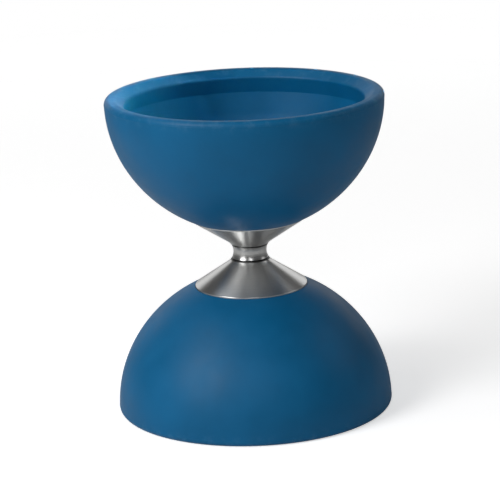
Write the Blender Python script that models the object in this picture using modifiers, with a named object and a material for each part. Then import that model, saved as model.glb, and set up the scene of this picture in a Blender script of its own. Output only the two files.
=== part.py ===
"""Fixed-axle diabolo: two rubber cups clamped on turned hub cones by one threaded rod.

The origin is the middle of the axle and +Z runs along it, towards the upper cup. Both
halves are alike, so the lower one is the upper one turned over about X. Pieces that touch
keep CLEARANCE between them. All sizes are in metres.
"""

import math

import bmesh
import bpy
from mathutils import Vector

MM = 0.001
CLEARANCE = 0.3 * MM

# Cups: the outer skin is a superellipse turned about the axle.
CUP_RADIUS = 54.0 * MM
HALF_HEIGHT = 62.5 * MM
BOWL_POWER = 1.96
BOWL_DEPTH = 51.9 * MM
RIM_ROUNDING = 1.9 * MM
WIDEST_HEIGHT = HALF_HEIGHT - RIM_ROUNDING
RIM_WALL = 3.4 * MM
POLE_WALL = 3.7 * MM
RIM_FLAT_WIDTH = 2.2 * MM
LIP_WIDTH = 7.8 * MM
LIP_DROP = 2.8 * MM
LIP_BAND_HEIGHT = 6.4 * MM
LIP_BAND_DRAFT = 2.0 * MM
LIP_BLEND_DEPTH = 11.0 * MM
LIP_TOP_FILLET = 1.2 * MM
LIP_BOTTOM_FILLET = 0.6 * MM
FLOOR_THICKNESS = 4.5 * MM

# Waist: one concave arc, shared by the axle sleeve and the noses of the cones
WAIST_RADIUS = 6.5 * MM
WAIST_ARC = 5.35 * MM

# Hub cones, flaring straight from the waist's arc and seated in a shallow recess of each cup
CONE_BASE_RADIUS = 21.9 * MM
CONE_BASE_HEIGHT = 14.2 * MM
CONE_EDGE_HEIGHT = 1.1 * MM
CONE_EDGE_BREAK = 0.2 * MM
CONE_WALL = 2.6 * MM
POCKET_INNER_RADIUS = 11.5 * MM
POCKET_OUTER_RADIUS = 19.2 * MM
SPIGOT_RADIUS = 9.0 * MM
SPIGOT_LENGTH = 3.6 * MM
SPIGOT_FILLET = 0.5 * MM
SOCKET_RADIUS = 5.2 * MM
SOCKET_DEPTH = 3.2 * MM

# Axle sleeve, the waisted drum that the string runs on
SLEEVE_HALF_WIDTH = 2.7 * MM
SLEEVE_TENON_LENGTH = 2.9 * MM
SEAM_CHAMFER = 0.25 * MM

# M6 rod and fasteners
ROD_RADIUS = 3.0 * MM
ROD_CHAMFER = 0.6 * MM
ROD_PROTRUSION = 1.6 * MM
CLAMP_WASHER_RADIUS = 19.0 * MM
CLAMP_WASHER_THICKNESS = 1.5 * MM
CLAMP_WASHER_CHAMFER = 0.4 * MM
PLAIN_WASHER_RADIUS = 6.0 * MM
PLAIN_WASHER_THICKNESS = 1.6 * MM
PLAIN_WASHER_CHAMFER = 0.3 * MM
NUT_ACROSS_FLATS = 10.0 * MM
NUT_HEIGHT = 6.0 * MM
NUT_HEX_HEIGHT = 4.3 * MM
NUT_CROWN_RADIUS = 4.7 * MM
NUT_MOUTH_RADIUS = 3.6 * MM
NUT_CHAMFER_ANGLE = math.radians(30.0)
NUT_FACE_SHARE = 0.95
NUT_CORNER_MARGIN = 0.2 * MM
NUT_CROWN_BEVEL = 0.25 * MM
NUT_CROWN_SHOULDER = 0.8 * MM
NUT_MOUTH_LAND = 0.3 * MM
INSERT_HEIGHT = 1.0 * MM
INSERT_RADIUS = 3.9 * MM
INSERT_CHAMFER = 0.15 * MM
INSERT_SINK = 0.2 * MM
CUTTER_OVERSHOOT = 1.0 * MM

# Segments round each kind of turned piece, and in each fillet or bowl curve
CUP_SEGMENTS = 48
HUB_SEGMENTS = 36
FASTENER_SEGMENTS = 24
BOWL_STEPS = 12
WAIST_STEPS = 6
NOSE_STEPS = 3
FILLET_STEPS = 3
MERGE_DISTANCE = 0.01 * MM

# Heights in the stack, worked out from the axle's middle
BORE_RADIUS = ROD_RADIUS + CLEARANCE
CUP_FLOOR_UNDERSIDE = CONE_BASE_HEIGHT + CLEARANCE
CUP_FLOOR_TOP = CUP_FLOOR_UNDERSIDE + FLOOR_THICKNESS
CLAMP_WASHER_HEIGHT = CUP_FLOOR_TOP + CLEARANCE
PLAIN_WASHER_HEIGHT = CLAMP_WASHER_HEIGHT + CLAMP_WASHER_THICKNESS + CLEARANCE
NUT_SEAT_HEIGHT = PLAIN_WASHER_HEIGHT + PLAIN_WASHER_THICKNESS + CLEARANCE
ROD_HALF_LENGTH = NUT_SEAT_HEIGHT + NUT_HEIGHT + ROD_PROTRUSION
INSERT_POCKET_RADIUS = INSERT_RADIUS + CLEARANCE
INSERT_SEAT = NUT_HEX_HEIGHT - INSERT_SINK
INSERT_POCKET_HEIGHT = INSERT_HEIGHT + 2.0 * CLEARANCE


# ---------------------------------------------------------------- scene and materials

def clear_scene():
    for old in list(bpy.data.objects):
        bpy.data.objects.remove(old, do_unlink=True)


def new_collection(name):
    collection = bpy.data.collections.new(name)
    bpy.context.scene.collection.children.link(collection)
    return collection


def make_material(name, colour, roughness, metallic):
    material = bpy.data.materials.new(name)
    material.use_nodes = True
    shader = material.node_tree.nodes["Principled BSDF"]
    shader.inputs["Base Color"].default_value = (*colour, 1.0)
    shader.inputs["Roughness"].default_value = roughness
    shader.inputs["Metallic"].default_value = metallic
    material.diffuse_color = (*colour, 1.0)
    return material


# ---------------------------------------------------------------- outlines (radius, height)

def rounded(corners):
    """Closed outline through corners of (radius, height, fillet), with each fillet as an arc."""
    outline = []
    for index, (radius, height, fillet) in enumerate(corners):
        corner = Vector((radius, height))
        if not fillet:
            outline.append(corner)
            continue
        before = (Vector(corners[index - 1][:2]) - corner).normalized()
        after = (Vector(corners[(index + 1) % len(corners)][:2]) - corner).normalized()
        half_angle = before.angle(after) / 2.0
        centre = corner + (before + after).normalized() * (fillet / math.sin(half_angle))
        start = corner + before * (fillet / math.tan(half_angle)) - centre
        end = corner + after * (fillet / math.tan(half_angle)) - centre
        first = math.atan2(start.y, start.x)
        sweep = math.remainder(math.atan2(end.y, end.x) - first, math.tau)
        for step in range(FILLET_STEPS + 1):
            angle = first + sweep * step / FILLET_STEPS
            outline.append(centre + Vector((math.cos(angle), math.sin(angle))) * fillet)
    return outline


def bowl_curve(radius, depth, top, bottom):
    """Superellipse quarter from the height top down to the height bottom."""
    def turn_at(height):
        return math.asin(((WIDEST_HEIGHT - height) / depth) ** (BOWL_POWER / 2.0))

    first = turn_at(top)
    last = turn_at(bottom)
    points = []
    for step in range(BOWL_STEPS + 1):
        turn = first + (last - first) * step / BOWL_STEPS
        reach = abs(math.cos(turn)) ** (2.0 / BOWL_POWER)
        drop = abs(math.sin(turn)) ** (2.0 / BOWL_POWER)
        points.append(Vector((radius * reach, WIDEST_HEIGHT - depth * drop)))
    return points


def bowl_height(radius, depth, at_radius):
    """Height of the superellipse of this radius and depth at the radius at_radius."""
    drop = (1.0 - (at_radius / radius) ** BOWL_POWER) ** (1.0 / BOWL_POWER)
    return WIDEST_HEIGHT - depth * drop


def cup_outline():
    """Rim, outer skin, cone recess, centre hole, floor, inner skin and the thick lip's tapered band."""
    recess_radius = CONE_BASE_RADIUS + CLEARANCE
    skin_start = bowl_height(CUP_RADIUS, BOWL_DEPTH, recess_radius)
    outer_skin = bowl_curve(CUP_RADIUS, BOWL_DEPTH, WIDEST_HEIGHT, skin_start)

    lip_radius = CUP_RADIUS - LIP_WIDTH
    lip_top = HALF_HEIGHT - LIP_DROP
    lip_bottom = lip_top - LIP_BAND_HEIGHT
    inner_skin = bowl_curve(CUP_RADIUS - RIM_WALL, BOWL_DEPTH - POLE_WALL,
                            lip_bottom - LIP_BLEND_DEPTH, CUP_FLOOR_TOP)
    hole_radius = SPIGOT_RADIUS + CLEARANCE
    rim_flat_outer = CUP_RADIUS - RIM_ROUNDING

    rim = rounded([
        (rim_flat_outer - RIM_FLAT_WIDTH, HALF_HEIGHT, 0.0),
        (CUP_RADIUS, HALF_HEIGHT, RIM_ROUNDING),
        (CUP_RADIUS, WIDEST_HEIGHT - RIM_ROUNDING, 0.0),
    ])[:-2]
    floor = [
        Vector((recess_radius, CUP_FLOOR_UNDERSIDE)),
        Vector((hole_radius, CUP_FLOOR_UNDERSIDE)),
        Vector((hole_radius, CUP_FLOOR_TOP)),
    ]
    lip = rounded([
        (inner_skin[0].x, inner_skin[0].y, 0.0),
        (lip_radius + LIP_BAND_DRAFT, lip_bottom, LIP_BOTTOM_FILLET),
        (lip_radius, lip_top, LIP_TOP_FILLET),
        (rim_flat_outer - RIM_FLAT_WIDTH, HALF_HEIGHT, 0.0),
    ])[1:-1]
    return rim + outer_skin + floor + inner_skin[::-1] + lip


def waist_curve(first, last, steps):
    """Arc of the waist between two heights."""
    start = math.asin(first / WAIST_ARC)
    end = math.asin(last / WAIST_ARC)
    points = []
    for step in range(steps + 1):
        angle = start + (end - start) * step / steps
        radius = WAIST_RADIUS + WAIST_ARC * (1.0 - math.cos(angle))
        points.append((radius, WAIST_ARC * math.sin(angle)))
    return points


def flare_angle():
    """Angle from the axis of the straight flare, tangent to the waist's arc."""
    reach = CONE_BASE_RADIUS - WAIST_RADIUS - WAIST_ARC
    edge_top = CONE_BASE_HEIGHT - CONE_EDGE_HEIGHT
    return math.atan2(reach, edge_top) + math.asin(WAIST_ARC / math.hypot(reach, edge_top))


def cone_outline():
    """Spigot into the cup, pocketed base, thin edge, straight flare, nose, socket and bore."""
    nose_height = SLEEVE_HALF_WIDTH + CLEARANCE
    edge_top = CONE_BASE_HEIGHT - CONE_EDGE_HEIGHT
    spigot_top = CONE_BASE_HEIGHT + SPIGOT_LENGTH
    socket_top = nose_height + SOCKET_DEPTH
    flare_foot = WAIST_ARC * math.sin(flare_angle())
    nose = waist_curve(flare_foot, nose_height + SEAM_CHAMFER, NOSE_STEPS)
    rise = 1.0 / math.tan(flare_angle())
    wall_height = CONE_WALL / math.sin(flare_angle())
    pocket_roof = edge_top - (CONE_BASE_RADIUS - POCKET_INNER_RADIUS) * rise + wall_height
    return rounded([
        (SPIGOT_RADIUS, spigot_top, SPIGOT_FILLET),
        (SPIGOT_RADIUS, CONE_BASE_HEIGHT, 0.0),
        (POCKET_INNER_RADIUS, CONE_BASE_HEIGHT, 0.0),
        (POCKET_INNER_RADIUS, pocket_roof, 0.0),
        (POCKET_OUTER_RADIUS, CONE_BASE_HEIGHT, 0.0),
        (CONE_BASE_RADIUS, CONE_BASE_HEIGHT, CONE_EDGE_BREAK),
        (CONE_BASE_RADIUS, edge_top, CONE_EDGE_BREAK),
        *[(radius, height, 0.0) for radius, height in nose],
        (nose[-1][0] - SEAM_CHAMFER, nose_height, 0.0),
        (SOCKET_RADIUS, nose_height, 0.0),
        (SOCKET_RADIUS, socket_top, 0.0),
        (BORE_RADIUS, socket_top, 0.0),
        (BORE_RADIUS, spigot_top, 0.0),
    ])


def sleeve_outline():
    """Waisted drum between two chamfered shoulders, with a tenon at each end for the cones."""
    tenon_radius = SOCKET_RADIUS - CLEARANCE
    tenon_end = SLEEVE_HALF_WIDTH + SLEEVE_TENON_LENGTH
    shoulder = SLEEVE_HALF_WIDTH - SEAM_CHAMFER
    waist = waist_curve(shoulder, -shoulder, WAIST_STEPS)
    upper_end = [
        (tenon_radius, tenon_end),
        (tenon_radius, SLEEVE_HALF_WIDTH),
        (waist[0][0] - SEAM_CHAMFER, SLEEVE_HALF_WIDTH),
    ]
    lower_end = [(radius, -height) for radius, height in reversed(upper_end)]
    bore = [(BORE_RADIUS, -tenon_end), (BORE_RADIUS, tenon_end)]
    return upper_end + waist + lower_end + bore


def rod_outline():
    """Solid rod with chamfered ends, open at the axis."""
    return [
        (0.0, ROD_HALF_LENGTH),
        (ROD_RADIUS - ROD_CHAMFER, ROD_HALF_LENGTH),
        (ROD_RADIUS, ROD_HALF_LENGTH - ROD_CHAMFER),
        (ROD_RADIUS, -ROD_HALF_LENGTH + ROD_CHAMFER),
        (ROD_RADIUS - ROD_CHAMFER, -ROD_HALF_LENGTH),
        (0.0, -ROD_HALF_LENGTH),
    ]


def ring_outline(outer, inner, thickness, chamfer):
    """Flat ring that stands on height 0, with its outer edges chamfered."""
    return [
        (outer - chamfer, thickness),
        (outer, thickness - chamfer),
        (outer, chamfer),
        (outer - chamfer, 0.0),
        (inner, 0.0),
        (inner, thickness),
    ]


def nut_envelope_outline():
    """Turned limit of the nut: chamfered hexagon corners below, rolled crown above."""
    corner_radius = NUT_ACROSS_FLATS / math.sqrt(3.0)
    face_radius = NUT_FACE_SHARE * NUT_ACROSS_FLATS / 2.0
    past_corner = corner_radius + NUT_CORNER_MARGIN
    chamfer = (past_corner - face_radius) * math.tan(NUT_CHAMFER_ANGLE)
    return [
        (0.0, NUT_HEIGHT),
        (NUT_MOUTH_RADIUS + NUT_MOUTH_LAND, NUT_HEIGHT),
        (NUT_CROWN_RADIUS - NUT_CROWN_BEVEL, NUT_HEIGHT - NUT_CROWN_BEVEL),
        (NUT_CROWN_RADIUS, NUT_HEIGHT - NUT_CROWN_SHOULDER),
        (NUT_CROWN_RADIUS, NUT_HEX_HEIGHT),
        (past_corner, NUT_HEX_HEIGHT - chamfer),
        (past_corner, chamfer),
        (face_radius, 0.0),
        (0.0, 0.0),
    ]


def nut_bore_outline():
    """Turned cutter for the nut: thread bore, insert pocket and the crown's mouth."""
    pocket_top = INSERT_SEAT + INSERT_POCKET_HEIGHT
    return [
        (0.0, NUT_HEIGHT + CUTTER_OVERSHOOT),
        (NUT_MOUTH_RADIUS, NUT_HEIGHT + CUTTER_OVERSHOOT),
        (NUT_MOUTH_RADIUS, pocket_top),
        (INSERT_POCKET_RADIUS, pocket_top),
        (INSERT_POCKET_RADIUS, INSERT_SEAT),
        (BORE_RADIUS, INSERT_SEAT),
        (BORE_RADIUS, -CUTTER_OVERSHOOT),
        (0.0, -CUTTER_OVERSHOOT),
    ]


# ---------------------------------------------------------------- objects

def profile_mesh(name, outline, material):
    """Wire mesh of an outline at +X: a loop, or an open line where it starts on the axis."""
    vertices = [(radius, 0.0, height) for radius, height in outline]
    edges = [(index, index + 1) for index in range(len(vertices) - 1)]
    if outline[0][0] > 0.0:
        edges.append((len(vertices) - 1, 0))
    mesh = bpy.data.meshes.new(name)
    mesh.from_pydata(vertices, edges, [])
    mesh.materials.append(material)
    return mesh


def add_object(name, mesh, collection, parent, height=0.0):
    piece = bpy.data.objects.new(name, mesh)
    piece.location.z = height
    piece.parent = parent
    collection.objects.link(piece)
    return piece


def add_turned(name, mesh, segments, collection, parent, height=0.0):
    """Object whose profile mesh is turned a full circle about its own Z axis."""
    piece = add_object(name, mesh, collection, parent, height)
    lathe = piece.modifiers.new("Lathe", "SCREW")
    lathe.axis = "Z"
    lathe.angle = math.tau
    lathe.steps = segments
    lathe.render_steps = segments
    lathe.use_merge_vertices = True
    lathe.merge_threshold = MERGE_DISTANCE
    lathe.use_smooth_shade = True
    return piece


def add_weighted_normals(piece):
    normals = piece.modifiers.new("Flat faces stay flat", "WEIGHTED_NORMAL")
    normals.keep_sharp = True


def hexagon_mesh(name, across_flats, height, material):
    """Hexagonal prism that stands on height 0."""
    shape = bmesh.new()
    corner_radius = across_flats / math.sqrt(3.0)
    bmesh.ops.create_cone(shape, cap_ends=True, segments=6, depth=height,
                          radius1=corner_radius, radius2=corner_radius)
    bmesh.ops.translate(shape, verts=shape.verts, vec=(0.0, 0.0, height / 2.0))
    mesh = bpy.data.meshes.new(name)
    shape.to_mesh(mesh)
    shape.free()
    mesh.materials.append(material)
    return mesh


def add_boolean(piece, operation, cutter):
    cut = piece.modifiers.new(operation.title(), "BOOLEAN")
    cut.operation = operation
    cut.solver = "EXACT"
    cut.object = cutter


def add_cutter(name, mesh, cutters, parent):
    cutter = add_turned(name, mesh, FASTENER_SEGMENTS, cutters, parent, NUT_SEAT_HEIGHT)
    cutter.hide_render = True
    cutter.display_type = "WIRE"
    return cutter


def build_half(side, turn, meshes, parts, cutters, parent):
    """Cone, cup, washers and lock nut of one half, under an empty that turns them over."""
    half = add_object(side + "_half", None, parts, parent)
    half.rotation_euler.x = turn
    cone = add_turned(side + "_hub_cone", meshes["cone"], HUB_SEGMENTS, parts, half)
    cup = add_turned(side + "_cup", meshes["cup"], CUP_SEGMENTS, parts, half)
    clamp = add_turned(side + "_clamp_washer", meshes["clamp_washer"], HUB_SEGMENTS, parts, half,
                       CLAMP_WASHER_HEIGHT)
    washer = add_turned(side + "_plain_washer", meshes["plain_washer"], FASTENER_SEGMENTS, parts,
                        half, PLAIN_WASHER_HEIGHT)
    insert = add_turned(side + "_nut_insert", meshes["insert"], FASTENER_SEGMENTS, parts, half,
                        NUT_SEAT_HEIGHT + INSERT_SEAT + CLEARANCE)
    for piece in (cone, cup, clamp, washer, insert):
        add_weighted_normals(piece)

    nut = add_object(side + "_lock_nut", meshes["nut"], parts, half, NUT_SEAT_HEIGHT)
    envelope = add_cutter(side + "_nut_envelope", meshes["nut_envelope"], cutters, half)
    bore = add_cutter(side + "_nut_bore", meshes["nut_bore"], cutters, half)
    add_boolean(nut, "INTERSECT", envelope)
    add_boolean(nut, "DIFFERENCE", bore)


def build_diabolo():
    clear_scene()
    parts = new_collection("diabolo")
    cutters = new_collection("cutters")

    rubber = make_material("blue_rubber", (0.010, 0.110, 0.260), 0.62, 0.0)
    aluminium = make_material("turned_aluminium", (0.62, 0.62, 0.61), 0.28, 1.0)
    steel = make_material("hardened_steel", (0.52, 0.52, 0.51), 0.20, 1.0)
    rod_steel = make_material("rod_steel", (0.46, 0.46, 0.47), 0.35, 1.0)
    clamp_zinc = make_material("clamp_washer_zinc", (0.60, 0.61, 0.60), 0.38, 1.0)
    washer_zinc = make_material("plain_washer_zinc", (0.62, 0.63, 0.64), 0.34, 1.0)
    nut_zinc = make_material("lock_nut_zinc", (0.66, 0.67, 0.69), 0.32, 1.0)
    nylon = make_material("white_nylon", (0.78, 0.80, 0.82), 0.45, 0.0)

    insert_ring = ring_outline(INSERT_RADIUS, BORE_RADIUS, INSERT_HEIGHT, INSERT_CHAMFER)
    clamp_ring = ring_outline(CLAMP_WASHER_RADIUS, BORE_RADIUS, CLAMP_WASHER_THICKNESS,
                              CLAMP_WASHER_CHAMFER)
    washer_ring = ring_outline(PLAIN_WASHER_RADIUS, BORE_RADIUS, PLAIN_WASHER_THICKNESS,
                               PLAIN_WASHER_CHAMFER)
    meshes = {
        "cup": profile_mesh("cup_profile", cup_outline(), rubber),
        "cone": profile_mesh("cone_profile", cone_outline(), aluminium),
        "clamp_washer": profile_mesh("clamp_washer_profile", clamp_ring, clamp_zinc),
        "plain_washer": profile_mesh("plain_washer_profile", washer_ring, washer_zinc),
        "insert": profile_mesh("insert_profile", insert_ring, nylon),
        "nut": hexagon_mesh("nut_blank", NUT_ACROSS_FLATS, NUT_HEIGHT, nut_zinc),
        "nut_envelope": profile_mesh("nut_envelope_profile", nut_envelope_outline(), nut_zinc),
        "nut_bore": profile_mesh("nut_bore_profile", nut_bore_outline(), nut_zinc),
    }

    diabolo = add_object("diabolo_frame", None, parts, None)
    sleeve_mesh = profile_mesh("sleeve_profile", sleeve_outline(), steel)
    sleeve = add_turned("axle_sleeve", sleeve_mesh, HUB_SEGMENTS, parts, diabolo)
    rod_mesh = profile_mesh("rod_profile", rod_outline(), rod_steel)
    rod = add_turned("axle_rod", rod_mesh, FASTENER_SEGMENTS, parts, diabolo)
    add_weighted_normals(sleeve)
    add_weighted_normals(rod)
    build_half("upper", 0.0, meshes, parts, cutters, diabolo)
    build_half("lower", math.pi, meshes, parts, cutters, diabolo)


build_diabolo()
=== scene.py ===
"""Looks of the fixed-axle diabolo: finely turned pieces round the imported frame, in a plain studio."""

import math

import bmesh
import bpy
from mathutils import Matrix, Vector


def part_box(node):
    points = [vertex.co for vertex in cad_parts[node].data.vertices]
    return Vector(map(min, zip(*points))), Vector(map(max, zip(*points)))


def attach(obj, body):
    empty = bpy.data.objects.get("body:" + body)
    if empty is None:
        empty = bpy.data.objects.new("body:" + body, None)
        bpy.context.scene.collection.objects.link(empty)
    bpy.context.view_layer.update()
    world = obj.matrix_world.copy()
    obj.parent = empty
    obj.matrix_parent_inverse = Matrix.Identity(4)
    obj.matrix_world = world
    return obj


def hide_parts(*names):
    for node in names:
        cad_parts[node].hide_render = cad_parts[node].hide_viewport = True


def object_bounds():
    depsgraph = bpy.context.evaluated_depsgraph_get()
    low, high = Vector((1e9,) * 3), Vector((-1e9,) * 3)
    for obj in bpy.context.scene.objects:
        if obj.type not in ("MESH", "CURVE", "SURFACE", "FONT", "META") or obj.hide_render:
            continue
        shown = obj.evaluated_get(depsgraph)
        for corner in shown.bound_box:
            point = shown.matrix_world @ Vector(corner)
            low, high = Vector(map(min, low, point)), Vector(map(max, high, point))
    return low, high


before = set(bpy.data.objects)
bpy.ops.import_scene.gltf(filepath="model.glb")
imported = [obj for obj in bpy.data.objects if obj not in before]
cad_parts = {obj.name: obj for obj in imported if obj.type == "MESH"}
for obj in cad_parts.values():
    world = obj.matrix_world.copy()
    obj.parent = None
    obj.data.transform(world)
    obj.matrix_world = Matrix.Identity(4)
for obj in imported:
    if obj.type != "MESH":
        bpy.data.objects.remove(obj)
cad_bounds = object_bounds()

MM = 0.001
SIDES = {"upper": 1.0, "lower": -1.0}

# Sizes that the frame gives: every upper piece's radius, foot and top
RIM_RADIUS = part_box("upper_cup")[1].x
RIM_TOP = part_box("upper_cup")[1].z
CONE_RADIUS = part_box("upper_hub_cone")[1].x
SPIGOT_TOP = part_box("upper_hub_cone")[1].z
SLEEVE_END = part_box("axle_sleeve")[1].z
CLAMP_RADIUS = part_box("upper_clamp_washer")[1].x
CLAMP_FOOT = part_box("upper_clamp_washer")[0].z
CLAMP_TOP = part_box("upper_clamp_washer")[1].z
WASHER_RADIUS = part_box("upper_plain_washer")[1].x
WASHER_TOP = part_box("upper_plain_washer")[1].z
NUT_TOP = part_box("upper_lock_nut")[1].z
NUT_FLATS = 2.0 * min(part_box("upper_lock_nut")[1].x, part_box("upper_lock_nut")[1].y)
INSERT_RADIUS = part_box("upper_nut_insert")[1].x
INSERT_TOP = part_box("upper_nut_insert")[1].z
INSERT_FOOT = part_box("upper_nut_insert")[0].z
ROD_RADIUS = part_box("axle_rod")[1].x
ROD_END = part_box("axle_rod")[1].z

# Cup, as in the CAD part
BOWL_POWER = 1.96
BOWL_DEPTH = 51.9 * MM
RIM_ROUNDING = 1.9 * MM
RIM_WALL = 3.4 * MM
POLE_WALL = 3.7 * MM
RIM_FLAT_WIDTH = 2.2 * MM
LIP_WIDTH = 7.8 * MM
LIP_DROP = 2.8 * MM
LIP_BAND_HEIGHT = 6.4 * MM
LIP_BLEND_DEPTH = 11.0 * MM
LIP_BLEND_RADIUS = 20.0 * MM
LIP_DRAFT = 2.0 * MM
WIDEST_HEIGHT = RIM_TOP - RIM_ROUNDING

# Cup details that only the visual model has
FIT = 0.03 * MM
LIP_TOP_FILLET = 1.2 * MM
LIP_BOTTOM_FILLET = 1.0 * MM
LIP_BLEND_RUN = 4.0 * MM
RIM_INNER_FILLET = 2.2 * MM
PARTING_LINE = 0.06 * MM
PARTING_LINE_TOP = 0.05 * MM
PARTING_LINE_CREST = (0.15 * MM, 0.27 * MM)
PARTING_LINE_FOOT = 0.38 * MM
SKIN_TOP = 0.6 * MM
SEAT_EDGE_WIDTH = 0.25 * MM
SEAT_EDGE_RISE = 0.1 * MM
SEAT_EDGE_ROUNDING = 0.12 * MM
HOLE_ROUNDING = 0.3 * MM
FLOOR_RISE = 0.25 * MM
FLOOR_CORNER_RISE = 0.9 * MM
FLOOR_CORNER_REACH = 1.4 * MM
FLOOR_CORNER_ROUNDING = 1.2 * MM
PRESSED_GAP = 0.05 * MM
PRESSED_EDGE_WIDTH = 0.25 * MM
PRESSED_EDGE_RISE = 0.35 * MM
PRESSED_EDGE_ROUNDING = 0.25 * MM
PRESSED_SWELL_WIDTH = 2.4 * MM
PRESSED_SWELL_ROUNDING = 1.5 * MM

# Hub, as in the CAD part
WAIST_RADIUS = 6.5 * MM
WAIST_ARC = 5.35 * MM
CONE_BASE_HEIGHT = 14.2 * MM
CONE_EDGE_HEIGHT = 1.1 * MM
CONE_WALL = 2.6 * MM
POCKET_INNER_RADIUS = 11.5 * MM
POCKET_OUTER_RADIUS = 19.2 * MM
SPIGOT_RADIUS = 9.0 * MM
SOCKET_RADIUS = 5.2 * MM
SOCKET_DEPTH = 3.2 * MM
SLEEVE_HALF_WIDTH = 2.80 * MM
SEAM_CHAMFER = 0.34 * MM
SEAM_GAP = 0.22 * MM
HOLE_RADIUS = 3.2 * MM

# Hub details that only the visual model has
SPIGOT_TOP_ROUNDING = 0.5 * MM
SPIGOT_FOOT_ROUNDING = 0.2 * MM
POCKET_ROUNDING = 0.3 * MM
POCKET_ROOF_ROUNDING = 0.5 * MM
CONE_SEAT_ROUNDING = 0.15 * MM
CONE_EDGE_ROUNDING = 0.22 * MM
SEAM_CHAMFER_REACH = 0.8 * SEAM_CHAMFER
SEAM_ROUNDING = 0.08 * MM
BORE_ROUNDING = 0.3 * MM

# Fasteners
WASHER_TOP_ROUNDING = 0.45 * MM
WASHER_FOOT_ROUNDING = 0.12 * MM
WASHER_HOLE_FOOT_ROUNDING = 0.1 * MM
WASHER_HOLE_TOP_ROUNDING = 0.25 * MM
INSERT_PRESS = 0.25 * MM
INSERT_OUTER_ROUNDING = 0.2 * MM
INSERT_FOOT_ROUNDING = 0.1 * MM
INSERT_DOME = 0.1 * MM
INSERT_DOME_ROUNDING = 0.15 * MM
THREAD_PITCH = 1.0 * MM
THREAD_DEPTH = 0.58 * MM
THREAD_CREST_SHARE = 0.16
THREAD_FLANK_SHARE = 0.62
THREAD_ROOT_SHAPE = 1.15
THREAD_START = 15.0 * MM
THREAD_ROWS = 14.0
SHANK_RADIUS = ROD_RADIUS - 0.32 * MM
ROD_CHAMFER = 0.75 * MM
NUT_CORNER_MARGIN = 0.2 * MM
NUT_FACE_SHARE = 0.95
NUT_CHAMFER_ANGLE = math.radians(30.0)
NUT_HEX_HEIGHT = 4.6 * MM
NUT_EDGE_ROUNDING = 0.15 * MM
NUT_BLANK_SPARE = 2.0 * MM
CROWN_RADIUS = 4.7 * MM
CROWN_ROUNDING = 0.85 * MM
CROWN_FOOT_ROUNDING = 0.25 * MM
CROWN_MOUTH_RADIUS = 3.55 * MM
MOUTH_FLARE = 0.4 * MM
MOUTH_FLARE_DEPTH = 0.2 * MM
MOUTH_THROAT = 0.15 * MM
MOUTH_THROAT_DEPTH = 0.35 * MM
MOUTH_THROAT_ROUNDING = 0.3 * MM
INSERT_POCKET = 0.28 * MM
BORE_LEAD_IN = 0.3 * MM
BORE_LEAD_IN_FLARE = 0.4 * MM
ENVELOPE_CORE = 0.2 * MM
CUTTER_CORE = 0.1 * MM
SLIVER_LENGTH = 0.01 * MM

# Studio
CAMERA_ELEVATION = math.radians(15.0)
CAMERA_ROLL = math.radians(2.25)
CAMERA_DISTANCE = 0.953
CAMERA_LENS_MM = 175.5
CAMERA_SENSOR_MM = 36.0
CAMERA_NEAREST = 0.05
LIGHT_DISTANCE = 0.9
SNOOT_SIZE = 0.05
SNOOT_SPREAD = math.radians(6.0)
FLOOR_RADIUS = 2.4
FLOOR_FADE = (0.25, 0.9)
FLOOR_GLOW = 0.53
BACKDROP_SEEN = 1.0
BACKDROP_LIGHT = 0.10

# Mesh fineness
CUP_SEGMENTS = 192
HUB_SEGMENTS = 160
FASTENER_SEGMENTS = 96
ROD_SEGMENTS = 64
RIM_STEPS = 16
LIP_STEPS = 10
NOSE_STEPS = 10
DRUM_STEPS = 28
POINT_GAP = 0.1 * MM


# ---------------------------------------------------------------- outlines (radius, height)

def rounded(corners, steps=8):
    """Closed outline through corners of (radius, height, fillet), with each fillet as an arc."""
    outline = []
    for index, (radius, height, fillet) in enumerate(corners):
        corner = Vector((radius, height))
        if not fillet:
            outline.append(corner)
            continue
        before = (Vector(corners[index - 1][:2]) - corner).normalized()
        after = (Vector(corners[(index + 1) % len(corners)][:2]) - corner).normalized()
        half_angle = before.angle(after) / 2.0
        centre = corner + (before + after).normalized() * (fillet / math.sin(half_angle))
        start = corner + before * (fillet / math.tan(half_angle)) - centre
        end = corner + after * (fillet / math.tan(half_angle)) - centre
        first = math.atan2(start.y, start.x)
        sweep = math.remainder(math.atan2(end.y, end.x) - first, math.tau)
        for step in range(steps + 1):
            angle = first + sweep * step / steps
            outline.append(centre + Vector((math.cos(angle), math.sin(angle))) * fillet)
    return outline


def bowl_curve(radius, depth, top, bottom, steps=72):
    """Superellipse quarter from the height top down to the height bottom."""
    def turn_at(height):
        return math.asin(((WIDEST_HEIGHT - height) / depth) ** (BOWL_POWER / 2.0))

    first = turn_at(top)
    last = turn_at(bottom)
    points = []
    for step in range(steps + 1):
        turn = first + (last - first) * step / steps
        reach = abs(math.cos(turn)) ** (2.0 / BOWL_POWER)
        drop = abs(math.sin(turn)) ** (2.0 / BOWL_POWER)
        points.append(Vector((radius * reach, WIDEST_HEIGHT - depth * drop)))
    return points


def bowl_height(radius, depth, at_radius):
    drop = (1.0 - (at_radius / radius) ** BOWL_POWER) ** (1.0 / BOWL_POWER)
    return WIDEST_HEIGHT - depth * drop


def waist_curve(first, last, steps):
    """Concave arc of the waist between two heights."""
    start = math.asin(first / WAIST_ARC)
    end = math.asin(last / WAIST_ARC)
    points = []
    for step in range(steps + 1):
        angle = start + (end - start) * step / steps
        radius = WAIST_RADIUS + WAIST_ARC * (1.0 - math.cos(angle))
        points.append((radius, WAIST_ARC * math.sin(angle)))
    return points


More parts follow.
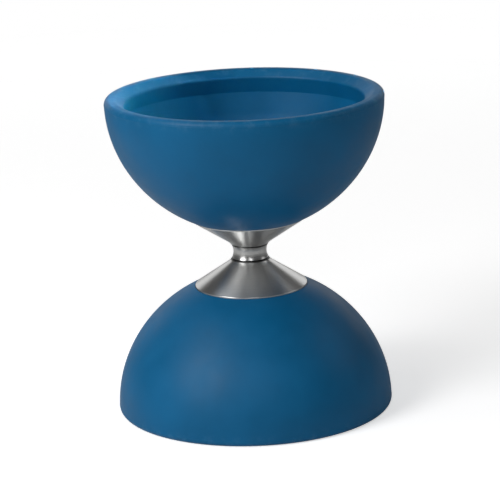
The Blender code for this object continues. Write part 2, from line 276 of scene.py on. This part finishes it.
def cup_outline():
    """Rounded rim, parting line, outer skin, cone seat, pressed floor, inner skin and thick lip.

    The lip's inside is a band that leans outward as it goes down, and the wall goes on below it
    without an undercut.
    """
    skin_radius = RIM_RADIUS - PARTING_LINE
    seat_radius = CONE_RADIUS + 2.0 * FIT
    seat_height = CONE_BASE_HEIGHT + FIT
    skin_foot = bowl_height(skin_radius, BOWL_DEPTH, seat_radius + SEAT_EDGE_WIDTH)
    outer_skin = bowl_curve(skin_radius, BOWL_DEPTH, WIDEST_HEIGHT - SKIN_TOP, skin_foot)

    lip_radius = RIM_RADIUS - LIP_WIDTH
    lip_top = RIM_TOP - LIP_DROP
    lip_bottom = lip_top - LIP_BAND_HEIGHT
    floor_height = CLAMP_FOOT + FLOOR_RISE
    pressed_height = CLAMP_FOOT - FIT
    inner_skin = bowl_curve(RIM_RADIUS - RIM_WALL, BOWL_DEPTH - POLE_WALL,
                            lip_bottom - LIP_BLEND_DEPTH, floor_height + FLOOR_CORNER_RISE)
    flat_outer = RIM_RADIUS - RIM_ROUNDING
    flat_inner = flat_outer - RIM_FLAT_WIDTH
    hole = SPIGOT_RADIUS + FIT

    rim = rounded([
        (flat_inner, RIM_TOP, 0.0),
        (skin_radius, RIM_TOP, RIM_ROUNDING),
        (skin_radius, RIM_TOP - 2.0 * RIM_ROUNDING, 0.0),
    ], steps=RIM_STEPS)[1:-1]
    parting_line = [
        Vector((skin_radius, WIDEST_HEIGHT - PARTING_LINE_TOP)),
        *[Vector((RIM_RADIUS, WIDEST_HEIGHT - drop)) for drop in PARTING_LINE_CREST],
        Vector((skin_radius, WIDEST_HEIGHT - PARTING_LINE_FOOT)),
    ]
    floor = rounded([
        (outer_skin[-1].x, outer_skin[-1].y, 0.0),
        (seat_radius, skin_foot + SEAT_EDGE_RISE, SEAT_EDGE_ROUNDING),
        (seat_radius, seat_height, 0.0),
        (hole, seat_height, 0.0),
        (hole, pressed_height, HOLE_ROUNDING),
        (CLAMP_RADIUS + PRESSED_GAP, pressed_height, 0.0),
        (CLAMP_RADIUS + PRESSED_EDGE_WIDTH, floor_height + PRESSED_EDGE_RISE, PRESSED_EDGE_ROUNDING),
        (CLAMP_RADIUS + PRESSED_SWELL_WIDTH, floor_height, PRESSED_SWELL_ROUNDING),
        (inner_skin[-1].x - FLOOR_CORNER_REACH, floor_height, FLOOR_CORNER_ROUNDING),
        (inner_skin[-1].x, inner_skin[-1].y, 0.0),
    ])[1:-1]
    wall = next(point for point in inner_skin if point.y < inner_skin[0].y - LIP_BLEND_RUN)
    lip = rounded([
        (wall.x, wall.y, 0.0),
        (inner_skin[0].x, inner_skin[0].y, LIP_BLEND_RADIUS),
        (lip_radius + LIP_DRAFT, lip_bottom, LIP_BOTTOM_FILLET),
        (lip_radius, lip_top, LIP_TOP_FILLET),
        (flat_inner, RIM_TOP, RIM_INNER_FILLET),
        (flat_outer, RIM_TOP, 0.0),
    ], steps=LIP_STEPS)[1:-1]
    below_lip = [point for point in reversed(inner_skin) if point.y < lip[0].y - POINT_GAP]
    return rim + parting_line + outer_skin + floor + below_lip + lip


def flare_angle():
    """Angle from the axis of the cones' straight flare, tangent to the waist's arc."""
    reach = CONE_RADIUS - WAIST_RADIUS - WAIST_ARC
    edge_top = CONE_BASE_HEIGHT - CONE_EDGE_HEIGHT
    return math.atan2(reach, edge_top) + math.asin(WAIST_ARC / math.hypot(reach, edge_top))


def cone_outline():
    """Spigot, pocketed base, thin bright edge, straight flare, nose, sleeve socket and rod bore."""
    nose_height = SLEEVE_HALF_WIDTH + SEAM_GAP
    edge_top = CONE_BASE_HEIGHT - CONE_EDGE_HEIGHT
    socket_top = nose_height + SOCKET_DEPTH
    flare_foot = WAIST_ARC * math.sin(flare_angle())
    nose = waist_curve(flare_foot, nose_height + SEAM_CHAMFER, NOSE_STEPS)
    rise = 1.0 / math.tan(flare_angle())
    wall_height = CONE_WALL / math.sin(flare_angle())
    pocket_roof = edge_top - (CONE_RADIUS - POCKET_INNER_RADIUS) * rise + wall_height
    return rounded([
        (SPIGOT_RADIUS, SPIGOT_TOP, SPIGOT_TOP_ROUNDING),
        (SPIGOT_RADIUS, CONE_BASE_HEIGHT, SPIGOT_FOOT_ROUNDING),
        (POCKET_INNER_RADIUS, CONE_BASE_HEIGHT, POCKET_ROUNDING),
        (POCKET_INNER_RADIUS, pocket_roof, POCKET_ROOF_ROUNDING),
        (POCKET_OUTER_RADIUS, CONE_BASE_HEIGHT, POCKET_ROUNDING),
        (CONE_RADIUS, CONE_BASE_HEIGHT, CONE_SEAT_ROUNDING),
        (CONE_RADIUS, edge_top, CONE_EDGE_ROUNDING),
        *[(radius, height, 0.0) for radius, height in nose],
        (nose[-1][0] - SEAM_CHAMFER_REACH, nose_height, SEAM_ROUNDING),
        (SOCKET_RADIUS, nose_height, 0.0),
        (SOCKET_RADIUS, socket_top, 0.0),
        (HOLE_RADIUS, socket_top, 0.0),
        (HOLE_RADIUS, SPIGOT_TOP, BORE_ROUNDING),
    ])


def sleeve_outline():
    """Waisted drum between chamfered shoulders, with a tenon at each end."""
    tenon_radius = SOCKET_RADIUS - FIT
    shoulder = SLEEVE_HALF_WIDTH - SEAM_CHAMFER
    waist = waist_curve(shoulder, -shoulder, DRUM_STEPS)
    upper_end = [
        (HOLE_RADIUS, SLEEVE_END, BORE_ROUNDING),
        (tenon_radius, SLEEVE_END, BORE_ROUNDING),
        (tenon_radius, SLEEVE_HALF_WIDTH, 0.0),
        (waist[0][0] - SEAM_CHAMFER_REACH, SLEEVE_HALF_WIDTH, SEAM_ROUNDING),
    ]
    lower_end = [(radius, -height, fillet) for radius, height, fillet in reversed(upper_end)]
    drum = [(radius, height, 0.0) for radius, height in waist]
    return rounded(upper_end + drum + lower_end)


def washer_outline(radius, foot, top):
    """Punched ring: rounded on its upper outer edge, sharp below, with a countersunk hole."""
    return rounded([
        (radius, top, WASHER_TOP_ROUNDING),
        (radius, foot, WASHER_FOOT_ROUNDING),
        (HOLE_RADIUS, foot, WASHER_HOLE_FOOT_ROUNDING),
        (HOLE_RADIUS, top, WASHER_HOLE_TOP_ROUNDING),
    ])


def insert_outline():
    """Nylon ring inside the nut's crown, hugging the rod, with its top slightly domed."""
    return rounded([
        (INSERT_RADIUS + INSERT_PRESS, INSERT_TOP, INSERT_OUTER_ROUNDING),
        (INSERT_RADIUS + INSERT_PRESS, INSERT_FOOT, INSERT_FOOT_ROUNDING),
        (ROD_RADIUS + FIT, INSERT_FOOT, INSERT_FOOT_ROUNDING),
        (ROD_RADIUS + FIT, INSERT_TOP - INSERT_DOME, INSERT_DOME_ROUNDING),
    ])


# ---------------------------------------------------------------- meshes

def lathe(name, outline, segments, side=1.0):
    """Closed ring of an outline turned about Z; side -1 turns it over about X."""
    vertices = []
    for segment in range(segments):
        angle = math.tau * segment / segments
        for radius, height in outline:
            vertices.append((radius * math.cos(angle), side * radius * math.sin(angle), side * height))
    count = len(outline)
    faces = []
    for segment in range(segments):
        here = segment * count
        there = (segment + 1) % segments * count
        for index in range(count):
            after = (index + 1) % count
            faces.append((here + index, here + after, there + after, there + index))
    mesh = bpy.data.meshes.new(name)
    mesh.from_pydata(vertices, [], faces)
    return finish_mesh(name, mesh)


def finish_mesh(name, mesh, sharp_degrees=32.0):
    """Object from a mesh, with its faces pointing out and smooth up to the sharp angle."""
    shape = bmesh.new()
    shape.from_mesh(mesh)
    bmesh.ops.recalc_face_normals(shape, faces=shape.faces)
    shape.to_mesh(mesh)
    shape.free()
    mesh.shade_smooth()
    mesh.set_sharp_from_angle(angle=math.radians(sharp_degrees))
    piece = bpy.data.objects.new(name, mesh)
    bpy.context.scene.collection.objects.link(piece)
    return piece


def thread_radius(height, angle):
    """Radius of the M6 thread's surface: 60 degree flanks, narrow crests, rounded roots."""
    phase = (height / THREAD_PITCH - angle / math.tau) % 1.0
    from_crest = abs(phase - 0.5) * 2.0
    groove = min(max((from_crest - THREAD_CREST_SHARE) / THREAD_FLANK_SHARE, 0.0), 1.0)
    return ROD_RADIUS - THREAD_DEPTH * (groove ** THREAD_ROOT_SHAPE)


def rod():
    """Stud with a rolled thread at each end, a plain shank between, and chamfered ends."""
    name = "axle_rod_threaded"
    row_height = MM / THREAD_ROWS
    heights = [-ROD_END]
    while heights[-1] < ROD_END:
        in_thread = abs(heights[-1]) > THREAD_START
        heights.append(min(heights[-1] + (row_height if in_thread else MM), ROD_END))
    vertices = []
    for height in heights:
        from_end = ROD_END - abs(height)
        chamfer_limit = ROD_RADIUS - ROD_CHAMFER + from_end
        fade = min(max((abs(height) - THREAD_START) / MM, 0.0), 1.0)
        for segment in range(ROD_SEGMENTS):
            angle = math.tau * segment / ROD_SEGMENTS
            radius = SHANK_RADIUS + (thread_radius(height, angle) - SHANK_RADIUS) * fade
            radius = min(radius, chamfer_limit)
            vertices.append((radius * math.cos(angle), radius * math.sin(angle), height))
    faces = [tuple(reversed(range(ROD_SEGMENTS)))]
    for row in range(len(heights) - 1):
        for segment in range(ROD_SEGMENTS):
            after = (segment + 1) % ROD_SEGMENTS
            low = row * ROD_SEGMENTS
            high = low + ROD_SEGMENTS
            faces.append((low + segment, low + after, high + after, high + segment))
    faces.append(tuple((len(heights) - 1) * ROD_SEGMENTS + segment for segment in range(ROD_SEGMENTS)))
    mesh = bpy.data.meshes.new(name)
    mesh.from_pydata(vertices, [], faces)
    return finish_mesh(name, mesh)


def baked(piece):
    """Applies the modifiers of a piece to its mesh."""
    graph = bpy.context.evaluated_depsgraph_get()
    mesh = bpy.data.meshes.new_from_object(piece.evaluated_get(graph))
    piece.modifiers.clear()
    piece.data = mesh
    return piece


def without_slivers(mesh):
    """Turns a cut mesh into triangles, and merges away the needle-thin ones left by the cut."""
    shape = bmesh.new()
    shape.from_mesh(mesh)
    bmesh.ops.remove_doubles(shape, verts=shape.verts, dist=SLIVER_LENGTH)
    bmesh.ops.triangulate(shape, faces=shape.faces)
    bmesh.ops.dissolve_degenerate(shape, edges=shape.edges, dist=SLIVER_LENGTH)
    bmesh.ops.triangulate(shape, faces=shape.faces)
    shape.to_mesh(mesh)
    shape.free()


def nut_envelope(foot, corner_radius):
    """Outline round the nut's chamfered hexagon and its rolled crown."""
    past_corner = corner_radius + NUT_CORNER_MARGIN
    face_radius = NUT_FACE_SHARE * NUT_FLATS / 2.0
    chamfer = (past_corner - face_radius) * math.tan(NUT_CHAMFER_ANGLE)
    hex_top = foot + NUT_HEX_HEIGHT
    return rounded([
        (ENVELOPE_CORE, NUT_TOP, 0.0),
        (CROWN_MOUTH_RADIUS, NUT_TOP, 0.0),
        (CROWN_RADIUS, NUT_TOP, CROWN_ROUNDING),
        (CROWN_RADIUS, hex_top, CROWN_FOOT_ROUNDING),
        (face_radius, hex_top, 0.0),
        (past_corner, hex_top - chamfer, 0.0),
        (past_corner, foot + chamfer, 0.0),
        (face_radius, foot, 0.0),
        (ENVELOPE_CORE, foot, 0.0),
    ])


def nut_bore(foot):
    """Outline of the nut's hollow: flared mouth, pocket for the insert, bore with a lead-in."""
    pocket_radius = INSERT_RADIUS + INSERT_POCKET
    mouth_edge = CROWN_MOUTH_RADIUS + MOUTH_FLARE
    return rounded([
        (CUTTER_CORE, NUT_TOP + MM, 0.0),
        (mouth_edge, NUT_TOP + MM, 0.0),
        (mouth_edge, NUT_TOP + MOUTH_FLARE_DEPTH, 0.0),
        (CROWN_MOUTH_RADIUS - MOUTH_THROAT, NUT_TOP - MOUTH_THROAT_DEPTH, MOUTH_THROAT_ROUNDING),
        (CROWN_MOUTH_RADIUS, INSERT_TOP + FIT, 0.0),
        (pocket_radius, INSERT_TOP + FIT, 0.0),
        (pocket_radius, INSERT_FOOT - FIT, 0.0),
        (ROD_RADIUS + FIT, INSERT_FOOT - FIT, 0.0),
        (ROD_RADIUS + FIT, foot + BORE_LEAD_IN, 0.0),
        (ROD_RADIUS + BORE_LEAD_IN_FLARE, foot - MM, 0.0),
        (CUTTER_CORE, foot - MM, 0.0),
    ])


def nut(name, side):
    """Lock nut, cut from a hexagonal prism by turned shapes; side -1 turns it over about X."""
    height = NUT_TOP - WASHER_TOP - FIT
    foot = WASHER_TOP + FIT
    corner_radius = NUT_FLATS / math.sqrt(3.0)
    cuts = (("INTERSECT", nut_envelope(foot, corner_radius)), ("DIFFERENCE", nut_bore(foot)))
    shape = bmesh.new()
    bmesh.ops.create_cone(shape, cap_ends=True, segments=6, depth=height + NUT_BLANK_SPARE,
                          radius1=corner_radius, radius2=corner_radius)
    uprights = [edge for edge in shape.edges
                if abs(edge.verts[0].co.z - edge.verts[1].co.z) > height]
    bmesh.ops.bevel(shape, geom=uprights, offset=NUT_EDGE_ROUNDING, segments=3,
                    affect="EDGES", profile=0.5)
    bmesh.ops.translate(shape, verts=shape.verts, vec=(0.0, 0.0, foot + height / 2.0))
    mesh = bpy.data.meshes.new(name)
    shape.to_mesh(mesh)
    shape.free()
    piece = bpy.data.objects.new(name, mesh)
    bpy.context.scene.collection.objects.link(piece)
    for operation, outline in cuts:
        cutter = lathe(name + "_cutter", outline, FASTENER_SEGMENTS)
        cut = piece.modifiers.new(operation.title(), "BOOLEAN")
        cut.operation = operation
        cut.object = cutter
        baked(piece)
        bpy.data.objects.remove(cutter)
    if side < 0.0:
        for vertex in piece.data.vertices:
            vertex.co.y *= -1.0
            vertex.co.z *= -1.0
    mesh = piece.data
    bpy.data.objects.remove(piece)
    without_slivers(mesh)
    return finish_mesh(name, mesh, 25.0)


# ---------------------------------------------------------------- materials

class Nodes:
    """Short calls for building one material's node tree."""

    def __init__(self, name):
        self.material = bpy.data.materials.new(name)
        self.material.use_nodes = True
        self.tree = self.material.node_tree
        self.shader = self.tree.nodes["Principled BSDF"]
        self.position = self.tree.nodes.new("ShaderNodeTexCoord").outputs["Object"]

    def feed(self, socket, value):
        if isinstance(value, bpy.types.NodeSocket):
            self.tree.links.new(value, socket)
        else:
            socket.default_value = value

    def set(self, **values):
        for name, value in values.items():
            self.feed(self.shader.inputs[name.replace("_", " ").title().replace("Ior", "IOR")], value)

    def math(self, operation, *values, clamp=False):
        node = self.tree.nodes.new("ShaderNodeMath")
        node.operation = operation
        node.use_clamp = clamp
        for socket, value in zip(node.inputs, values):
            self.feed(socket, value)
        return node.outputs[0]

    def split(self):
        node = self.tree.nodes.new("ShaderNodeSeparateXYZ")
        self.tree.links.new(self.position, node.inputs[0])
        return node.outputs

    def stretched(self, x, y, z):
        """Position scaled along each axis, so that a noise is drawn out along the smallest."""
        node = self.tree.nodes.new("ShaderNodeVectorMath")
        node.operation = "MULTIPLY"
        self.tree.links.new(self.position, node.inputs[0])
        node.inputs[1].default_value = (x, y, z)
        return node.outputs["Vector"]

    def radius(self):
        x, y, _ = self.split()
        return self.math("SQRT", self.math("ADD", self.math("MULTIPLY", x, x),
                                           self.math("MULTIPLY", y, y)))

    def noise(self, scale, detail=2.0, roughness=0.5, vector=None):
        node = self.tree.nodes.new("ShaderNodeTexNoise")
        self.feed(node.inputs["Vector"], vector or self.position)
        node.inputs["Scale"].default_value = scale
        node.inputs["Detail"].default_value = detail
        node.inputs["Roughness"].default_value = roughness
        return node.outputs["Fac"]

    def line_noise(self, value, scale, detail=2.0):
        """Noise that varies along one value only, such as the height or the radius."""
        node = self.tree.nodes.new("ShaderNodeTexNoise")
        node.noise_dimensions = "1D"
        self.feed(node.inputs["W"], value)
        node.inputs["Scale"].default_value = scale
        node.inputs["Detail"].default_value = detail
        return node.outputs["Fac"]

    def span(self, value, low, high, to_low=0.0, to_high=1.0):
        node = self.tree.nodes.new("ShaderNodeMapRange")
        self.feed(node.inputs["Value"], value)
        node.inputs["From Min"].default_value = low
        node.inputs["From Max"].default_value = high
        node.inputs["To Min"].default_value = to_low
        node.inputs["To Max"].default_value = to_high
        return node.outputs["Result"]

    def mix(self, factor, first, second):
        node = self.tree.nodes.new("ShaderNodeMix")
        node.data_type = "RGBA"
        self.feed(node.inputs["Factor"], factor)
        self.feed(node.inputs[6], first)
        self.feed(node.inputs[7], second)
        return node.outputs[2]

    def bump(self, height, distance, strength=1.0, under=None):
        node = self.tree.nodes.new("ShaderNodeBump")
        node.inputs["Strength"].default_value = strength
        node.inputs["Distance"].default_value = distance
        self.feed(node.inputs["Height"], height)
        if under is not None:
            self.feed(node.inputs["Normal"], under)
        return node.outputs["Normal"]


def rgb(red, green, blue):
    return (red, green, blue, 1.0)


def rubber_material():
    """Matte moulded rubber: soft grain, faint tool rings, smears, and scuffs where the rims land."""
    deep_blue = rgb(0.0004, 0.093, 0.218)
    full_blue = rgb(0.0010, 0.113, 0.264)
    smeared_blue = rgb(0.003, 0.132, 0.292)
    speckled_blue = rgb(0.004, 0.126, 0.285)
    scuffed_blue = rgb(0.060, 0.190, 0.340)
    scuffs_start = RIM_TOP - 5.0 * MM
    scuffs_full = RIM_TOP - 0.2 * MM
    ring_depth = 0.012 * MM
    grain_depth = 0.02 * MM

    made = Nodes("blue_moulded_rubber")
    height = made.math("ABSOLUTE", made.split()[2])
    radius = made.radius()
    mottle = made.noise(45.0, 4.0, 0.55)
    speckle = made.noise(1400.0, 2.0)
    colour = made.mix(made.span(mottle, 0.3, 0.7), deep_blue, full_blue)
    smear = made.span(made.noise(75.0, 5.0, 0.62, made.stretched(1.0, 1.0, 0.35)), 0.54, 0.72)
    colour = made.mix(made.math("MULTIPLY", smear, 0.20), colour, smeared_blue)
    colour = made.mix(made.span(speckle, 0.62, 0.75, 0.0, 0.18), colour, speckled_blue)
    at_rim = made.span(height, scuffs_start, scuffs_full)
    scuffs = made.span(made.noise(260.0, 6.0, 0.68), 0.50, 0.70)
    worn = made.math("MULTIPLY", at_rim, scuffs, clamp=True)
    colour = made.mix(made.math("MULTIPLY", worn, 0.45), colour, scuffed_blue)
    made.set(base_color=colour)
    made.set(roughness=made.span(made.noise(90.0, 3.0), 0.3, 0.7, 0.43, 0.54))
    made.set(specular_ior_level=0.20)
    rings = made.line_noise(made.math("ADD", radius, made.math("MULTIPLY", height, 0.8)), 2200.0)
    grain = made.noise(3200.0, 3.0, 0.6)
    normal = made.bump(rings, ring_depth, 0.5)
    made.set(normal=made.bump(grain, grain_depth, 0.6, under=normal))
    return made.material


def turned_metal(name, light, dark, roughness, anisotropy, ring_scale, ring_depth):
    """Lathe-turned metal: tool rings round the axle draw its highlights out along the cone."""
    # Near-black that the metal is darkened towards along the seam between cone and sleeve
    seam_dark_colour = rgb(0.030, 0.029, 0.027)
    seam_dark_reach = (0.20 * MM, 0.55 * MM)
    least_wear = roughness * 0.86
    most_wear = roughness * 1.14

    made = Nodes(name)
    height = made.math("ABSOLUTE", made.split()[2])
    along = made.math("ADD", made.radius(), height)
    rings = made.line_noise(along, ring_scale, 3.0)
    stain = made.noise(160.0, 4.0, 0.6)
    colour = made.mix(made.span(rings, 0.3, 0.7), dark, light)
    colour = made.mix(made.span(stain, 0.45, 0.75, 0.0, 0.12), colour, dark)
    # Colour darkens nearly to black, and roughness rises, within half a millimetre of the seam between
    # cone and sleeve
    seam = SLEEVE_HALF_WIDTH + SEAM_GAP / 2.0
    from_seam = made.math("ABSOLUTE", made.math("SUBTRACT", height, seam))
    seam_dark = made.span(from_seam, *seam_dark_reach, 0.85, 0.0)
    made.set(base_color=made.mix(seam_dark, colour, seam_dark_colour))
    made.set(metallic=1.0, anisotropic=anisotropy, anisotropic_rotation=0.25)
    wear = made.span(rings, 0.3, 0.7, least_wear, most_wear)
    made.set(roughness=made.math("ADD", wear, made.math("MULTIPLY", seam_dark, 0.3)))
    tangent = made.tree.nodes.new("ShaderNodeTangent")
    tangent.direction_type = "RADIAL"
    tangent.axis = "Z"
    made.set(tangent=tangent.outputs["Tangent"])
    made.set(normal=made.bump(rings, ring_depth, 0.5))
    return made.material


def plated_metal(name, light, dark):
    """Bright zinc plate: faint clouding and fine turned scratches round the axle."""
    scratch_depth = 0.002 * MM
    made = Nodes(name)
    cloud = made.noise(120.0, 2.0, 0.5)
    scratches = made.line_noise(made.radius(), 1700.0, 2.0)
    colour = made.mix(made.span(cloud, 0.3, 0.7, 0.0, 0.35), light, dark)
    made.set(base_color=made.mix(made.span(scratches, 0.55, 0.8, 0.0, 0.25), colour, dark))
    made.set(metallic=1.0)
    made.set(roughness=made.span(cloud, 0.3, 0.7, 0.26, 0.33))
    made.set(normal=made.bump(scratches, scratch_depth, 0.25))
    return made.material


def nylon_material():
    """Milky nylon with a faint cloud and a fine cut surface."""
    cut_depth = 0.01 * MM
    made = Nodes("natural_nylon")
    cloud = made.noise(500.0, 3.0)
    made.set(base_color=made.mix(cloud, rgb(0.66, 0.68, 0.68), rgb(0.80, 0.81, 0.80)))
    made.set(roughness=made.span(cloud, 0.3, 0.7, 0.36, 0.48))
    made.set(normal=made.bump(made.noise(2500.0, 2.0), cut_depth, 0.4))
    return made.material


def floor_material():
    """Pale studio floor that thins out to the backdrop far from the object."""
    made = Nodes("pale_floor")
    made.set(base_color=rgb(0.86, 0.86, 0.86), roughness=0.9, specular_ior_level=0.1)
    made.set(emission_color=rgb(1.0, 1.0, 1.0))
    seen = made.tree.nodes.new("ShaderNodeLightPath").outputs["Is Camera Ray"]
    made.set(emission_strength=made.math("MULTIPLY", seen, FLOOR_GLOW))
    made.set(alpha=made.span(made.radius(), *FLOOR_FADE, 1.0, 0.0))
    return made.material


# ---------------------------------------------------------------- pieces

def place(piece, material, node):
    """Gives a piece its material, and says what it rides on and which CAD node it replaces."""
    piece.data.materials.clear()
    piece.data.materials.append(material)
    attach(piece, "root")
    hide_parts(node)


def build_diabolo():
    rubber = rubber_material()
    cone_metal = turned_metal("turned_aluminium", rgb(0.66, 0.66, 0.65), rgb(0.48, 0.48, 0.47),
                              0.32, 0.75, 5200.0, 0.008 * MM)
    sleeve_metal = turned_metal("burnished_steel", rgb(0.62, 0.62, 0.61), rgb(0.46, 0.46, 0.45),
                                0.30, 0.60, 7000.0, 0.003 * MM)
    clamp_metal = plated_metal("clamp_washer_zinc", rgb(0.66, 0.67, 0.67), rgb(0.48, 0.49, 0.50))
    washer_metal = plated_metal("plain_washer_zinc", rgb(0.68, 0.69, 0.71), rgb(0.50, 0.51, 0.53))
    nut_metal = plated_metal("nut_zinc", rgb(0.70, 0.71, 0.74), rgb(0.52, 0.53, 0.56))
    rod_metal = plated_metal("rod_zinc", rgb(0.58, 0.58, 0.59), rgb(0.40, 0.40, 0.41))
    nylon = nylon_material()

    for name, side in SIDES.items():
        cup = lathe(name + "_cup_moulded", cup_outline(), CUP_SEGMENTS, side)
        place(cup, rubber, name + "_cup")
        cone = lathe(name + "_hub_cone_turned", cone_outline(), HUB_SEGMENTS, side)
        place(cone, cone_metal, name + "_hub_cone")
        clamp = lathe(name + "_clamp_washer_pressed",
                      washer_outline(CLAMP_RADIUS, CLAMP_FOOT, CLAMP_TOP), HUB_SEGMENTS, side)
        place(clamp, clamp_metal, name + "_clamp_washer")
        washer = lathe(name + "_plain_washer_punched",
                       washer_outline(WASHER_RADIUS, CLAMP_TOP + FIT, WASHER_TOP),
                       FASTENER_SEGMENTS, side)
        place(washer, washer_metal, name + "_plain_washer")
        insert = lathe(name + "_nut_insert_ring", insert_outline(), FASTENER_SEGMENTS, side)
        place(insert, nylon, name + "_nut_insert")
        place(nut(name + "_lock_nut_rolled", side), nut_metal, name + "_lock_nut")

    sleeve = lathe("axle_sleeve_turned", sleeve_outline(), HUB_SEGMENTS)
    place(sleeve, sleeve_metal, "axle_sleeve")
    place(rod(), rod_metal, "axle_rod")


# ---------------------------------------------------------------- studio

def add_floor():
    bpy.ops.mesh.primitive_circle_add(vertices=96, radius=FLOOR_RADIUS, fill_type="NGON",
                                      location=(0.0, 0.0, cad_bounds[0].z))
    floor = bpy.context.object
    floor.name = "studio_floor"
    floor.data.materials.append(floor_material())


def add_softbox(name, azimuth, elevation, width, height, power):
    """Area light aimed at the object; azimuth 0 is the camera's side and grows to the right."""
    turn = math.radians(azimuth)
    lift = math.radians(elevation)
    level = math.cos(lift)
    direction = Vector((math.sin(turn) * level, -math.cos(turn) * level, math.sin(lift)))
    light = bpy.data.lights.new(name, "AREA")
    light.shape = "RECTANGLE"
    light.size = width
    light.size_y = height
    light.energy = power
    lamp = bpy.data.objects.new(name, light)
    lamp.location = direction * LIGHT_DISTANCE
    lamp.visible_camera = False
    lamp.rotation_mode = "QUATERNION"
    lamp.rotation_quaternion = direction.to_track_quat("Z", "Y")
    bpy.context.scene.collection.objects.link(lamp)
    return lamp


def add_snoot(name, azimuth, elevation, target, power):
    """Narrow lamp that reaches into the upper cup without lighting the cups' outsides much."""
    lamp = add_softbox(name, azimuth, elevation, SNOOT_SIZE, SNOOT_SIZE, power)
    lamp.data.spread = SNOOT_SPREAD
    lamp.location += target


def add_world():
    """White backdrop for the camera, and a dim even room for the light."""
    world = bpy.data.worlds.new("studio")
    bpy.context.scene.world = world
    world.use_nodes = True
    tree = world.node_tree
    background = tree.nodes["Background"]
    seen = tree.nodes.new("ShaderNodeLightPath").outputs["Is Camera Ray"]
    strength = tree.nodes.new("ShaderNodeMix")
    tree.links.new(seen, strength.inputs["Factor"])
    strength.inputs["A"].default_value = BACKDROP_LIGHT
    strength.inputs["B"].default_value = BACKDROP_SEEN
    tree.links.new(strength.outputs["Result"], background.inputs["Strength"])
    background.inputs["Color"].default_value = rgb(1.0, 1.0, 1.0)


def add_camera():
    """Looks from a little above the middle, rolled so that the object leans left."""
    back = Vector((0.0, -math.cos(CAMERA_ELEVATION), math.sin(CAMERA_ELEVATION)))
    data = bpy.data.cameras.new("camera")
    data.lens = CAMERA_LENS_MM
    data.sensor_width = CAMERA_SENSOR_MM
    data.clip_start = CAMERA_NEAREST
    camera = bpy.data.objects.new("camera", data)
    camera.location = back * CAMERA_DISTANCE
    turn = back.to_track_quat("Z", "Y").to_matrix().to_4x4()
    camera.rotation_mode = "QUATERNION"
    camera.rotation_quaternion = (turn @ Matrix.Rotation(-CAMERA_ROLL, 4, "Z")).to_quaternion()
    bpy.context.scene.collection.objects.link(camera)
    bpy.context.scene.camera = camera


add_camera()
build_diabolo()
add_floor()
add_softbox("key", -52.0, 32.0, 0.40, 0.40, 5.2)
add_softbox("top_left", -90.0, 60.0, 0.40, 0.40, 1.1)
add_softbox("back", 180.0, 13.0, 1.50, 0.40, 1.7)
add_softbox("right", 98.0, 30.0, 0.45, 0.45, 0.7)
left_of_the_cup = Vector((-0.75 * RIM_RADIUS, 0.0, RIM_TOP - LIP_BAND_HEIGHT))
add_snoot("cup_inside", 96.0, 38.0, left_of_the_cup, 0.029)
add_softbox("front", 2.0, 32.0, 0.30, 0.30, 1.0)
add_world()
bpy.context.scene.view_settings.view_transform = "Standard"

bpy.context.view_layer.update()
